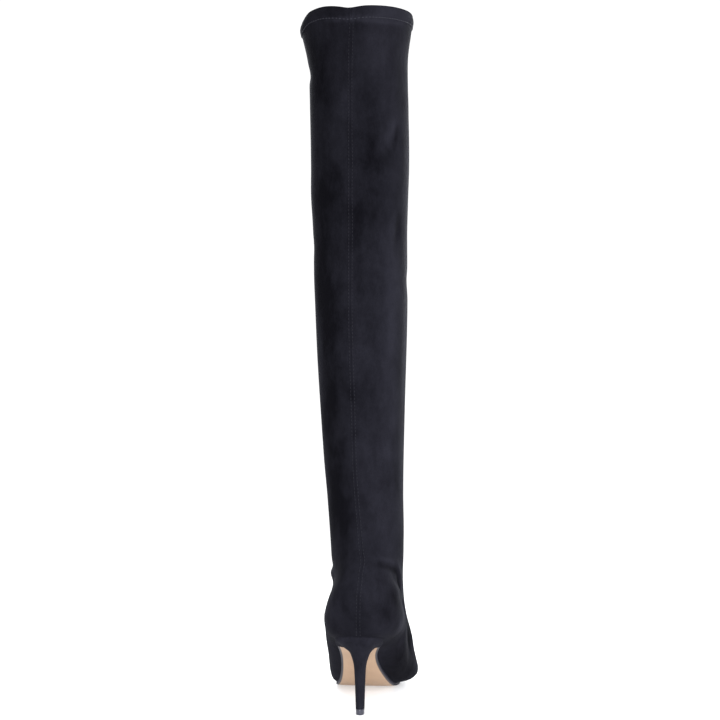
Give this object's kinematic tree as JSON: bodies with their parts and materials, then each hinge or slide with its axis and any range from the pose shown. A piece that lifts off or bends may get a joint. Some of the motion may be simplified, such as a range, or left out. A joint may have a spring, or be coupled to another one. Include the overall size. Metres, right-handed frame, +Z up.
{
  "type": "thigh high boot",
  "caption": "Pull-on stretch suede boot that reaches the thigh, with a pointed toe, a leather sole and a slim covered heel, for the left foot.",
  "frame": {"origin": "middle of the heel tip's flat underside, on the floor", "axes": "+Z up the shaft, +Y towards the toe, +X to the inner side of the foot"},
  "size_m": [0.1148, 0.2392, 0.7082],
  "materials": {
    "stretch_suede": "napped black stretch suede",
    "upper_suede": "napped black suede over a stiffened counter",
    "sole_leather": "smooth natural sole leather with a painted black edge",
    "insole_lining": "black lining leather",
    "heel_cover": "black suede wrapped over a moulded heel",
    "top_piece_rubber": "smooth hard black rubber"
  },
  "bodies": {
    "root": {"upper": "upper_suede", "shaft": "stretch_suede", "insole": "insole_lining", "outsole": "sole_leather", "heel": "heel_cover", "top_piece": "top_piece_rubber"}
  },
  "joints": []
}
